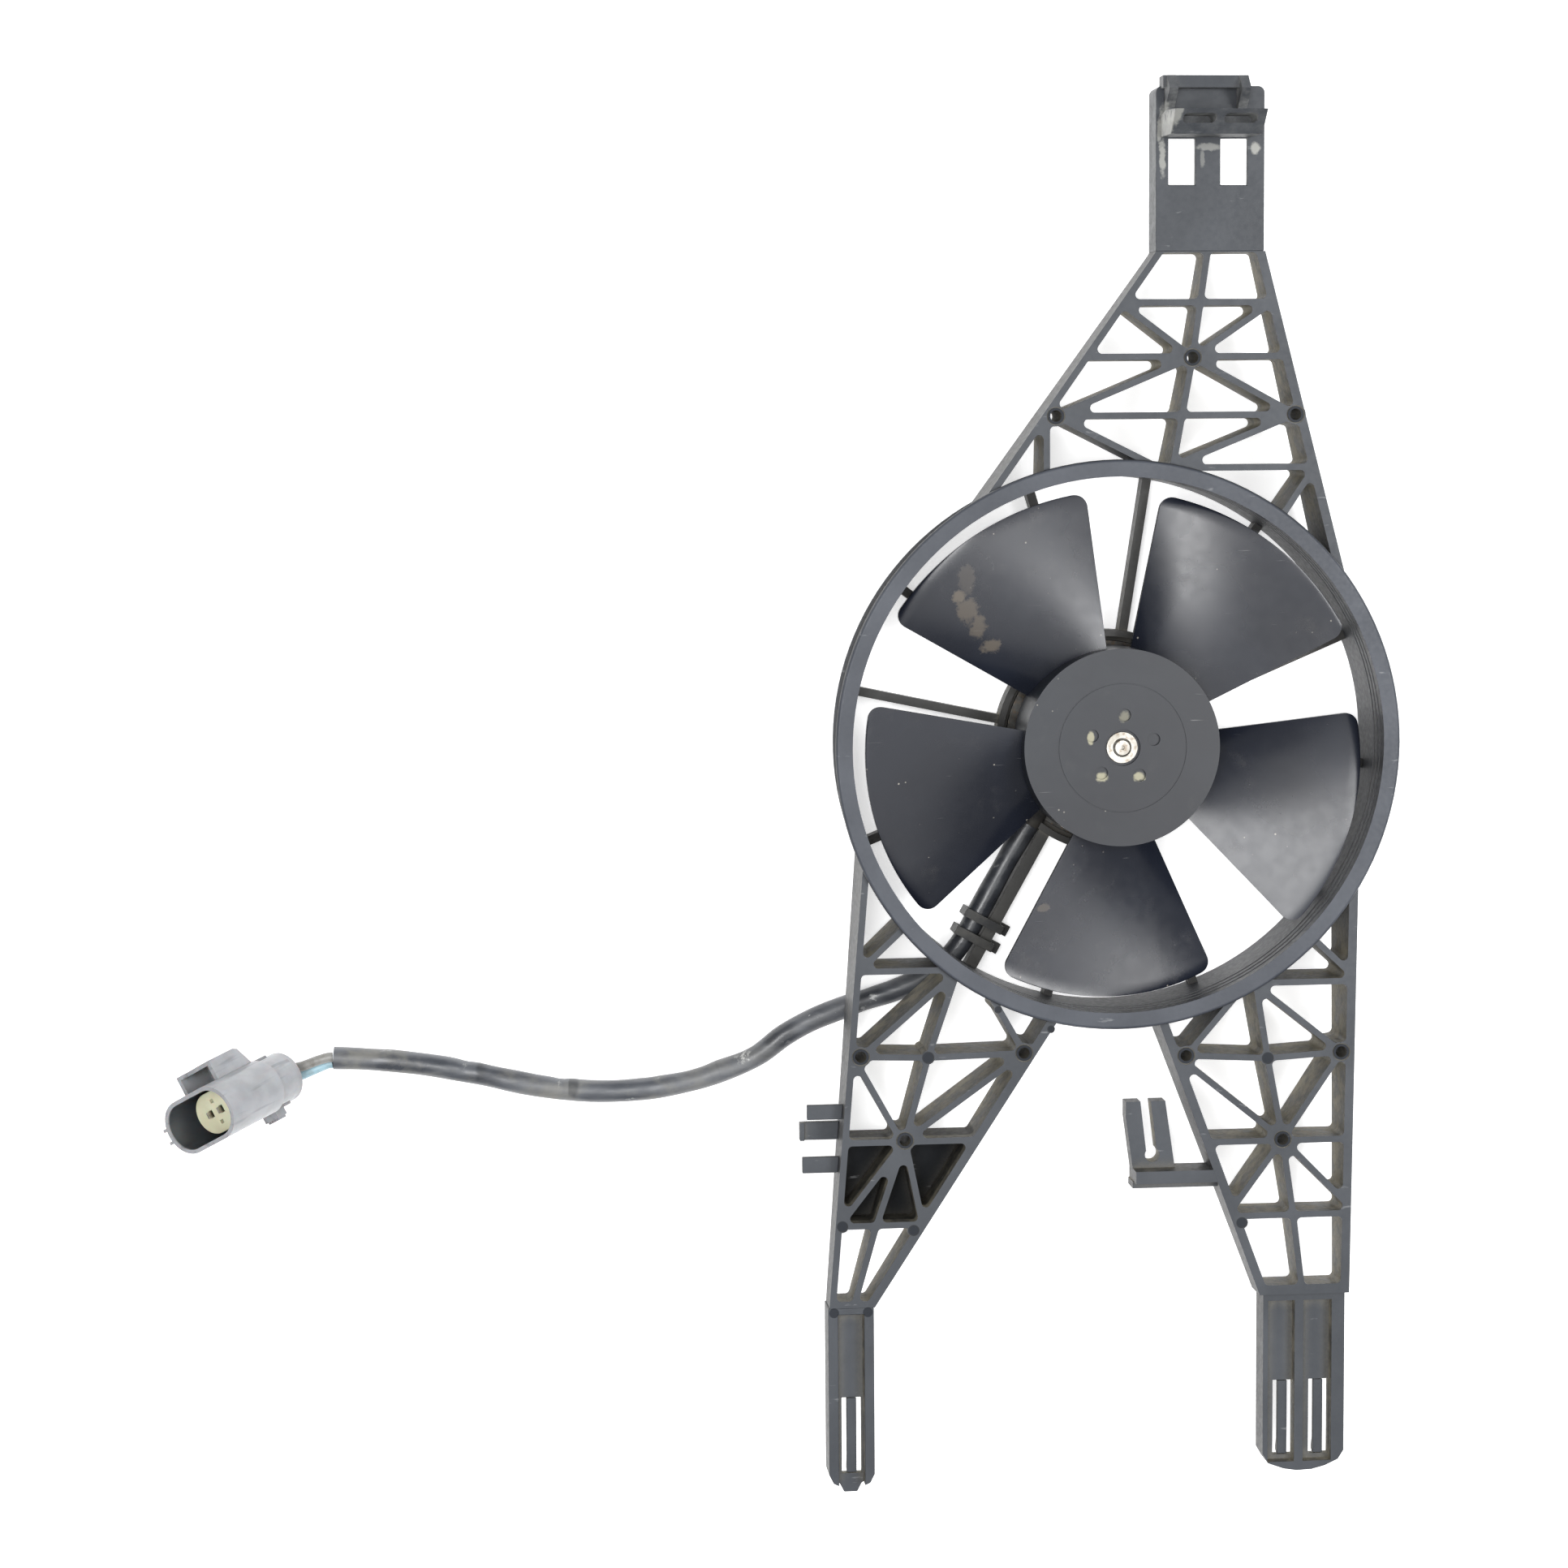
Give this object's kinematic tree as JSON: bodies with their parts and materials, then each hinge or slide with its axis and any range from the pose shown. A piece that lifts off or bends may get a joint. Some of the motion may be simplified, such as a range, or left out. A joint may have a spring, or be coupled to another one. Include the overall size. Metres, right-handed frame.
{
  "type": "intercooler fan",
  "caption": "Axial electric cooling fan: bladed impeller in a shroud ring, carried by a ribbed frame with a snap hook, two slide-in feet and a plugged cable.",
  "frame": {"origin": "on the fan axis, in the plane of the ring's rear rim", "axes": "+Z along the fan axis towards the hub face, +Y towards the tower with the snap hook, +X to the right seen from the hub face"},
  "size_m": [0.5469, 0.6255, 0.073],
  "materials": {
    "frame_plastic": "satin, glass-filled moulding, dusty",
    "impeller_plastic": "semi-gloss, lightly scratched",
    "plated_steel": "bright, slightly tarnished",
    "dark_steel": "black, dusty",
    "laminated_steel": "stacked sheets",
    "copper_wire": "enamelled copper",
    "copper_bars": "bare copper",
    "bronze": "sintered, oiled",
    "ferrite": "matt",
    "carbon": "pressed carbon",
    "card": "phenolic sheet",
    "black_rubber": "matt",
    "sleeve_vinyl": "dusty vinyl",
    "tie_nylon": "satin",
    "grey_insulation": "satin",
    "blue_insulation": "satin",
    "connector_grey": "satin, slightly translucent",
    "connector_cream": "satin"
  },
  "bodies": {
    "frame": {"shroud_ring": "frame_plastic", "motor_spider": "frame_plastic", "tower_truss": "frame_plastic", "top_neck": "frame_plastic", "top_catch": "frame_plastic", "left_leg_truss": "frame_plastic", "right_leg_truss": "frame_plastic", "left_foot": "frame_plastic", "right_foot": "frame_plastic", "fork_bracket": "frame_plastic", "clip_tabs": "frame_plastic", "motor_can": "dark_steel", "motor_end_cap": "dark_steel", "magnets": "ferrite", "front_bearing": "bronze", "rear_bearing": "bronze", "brush_card": "card", "brush_holders": "bronze", "brushes": "carbon", "brush_springs": "plated_steel", "motor_screws": "plated_steel", "lead_grommet": "black_rubber", "cable_tie": "tie_nylon", "cable_sleeve": "sleeve_vinyl", "wire_grey": "grey_insulation", "wire_blue": "blue_insulation", "connector_boot": "connector_grey", "connector_housing": "connector_grey", "connector_insert": "connector_cream", "connector_pins": "plated_steel"},
    "rotor": {"impeller_hub": "impeller_plastic", "impeller_blades": "impeller_plastic", "hub_insert": "plated_steel", "motor_shaft": "plated_steel", "armature_core": "laminated_steel", "armature_windings": "copper_wire", "commutator": "copper_bars", "shaft_collar": "bronze"},
    "left_tongue": {"left_tongue": "frame_plastic"},
    "right_tongue_inner": {"right_tongue_inner": "frame_plastic"},
    "right_tongue_outer": {"right_tongue_outer": "frame_plastic"}
  },
  "joints": [
    {"name": "fan_spin", "type": "hinge", "parent": "frame", "child": "rotor", "pos_m": [0, 0, 0], "axis": [0, 0, 1], "continuous": true},
    {"name": "left_tongue_flex", "type": "hinge", "parent": "frame", "child": "left_tongue", "pos_m": [-0.1201, -0.2915, 0.03375], "axis": [-1, 0, 0], "range_deg": [0, 4], "stiffness_Nm_per_rad": 0.5},
    {"name": "right_tongue_inner_flex", "type": "hinge", "parent": "frame", "child": "right_tongue_inner", "pos_m": [0.0768, -0.2907, 0.03175], "axis": [-1, 0, 0], "range_deg": [0, 4], "stiffness_Nm_per_rad": 0.5},
    {"name": "right_tongue_outer_flex", "type": "hinge", "parent": "frame", "child": "right_tongue_outer", "pos_m": [0.0933, -0.2907, 0.03175], "axis": [-1, 0, 0], "range_deg": [0, 4], "stiffness_Nm_per_rad": 0.5}
  ]
}
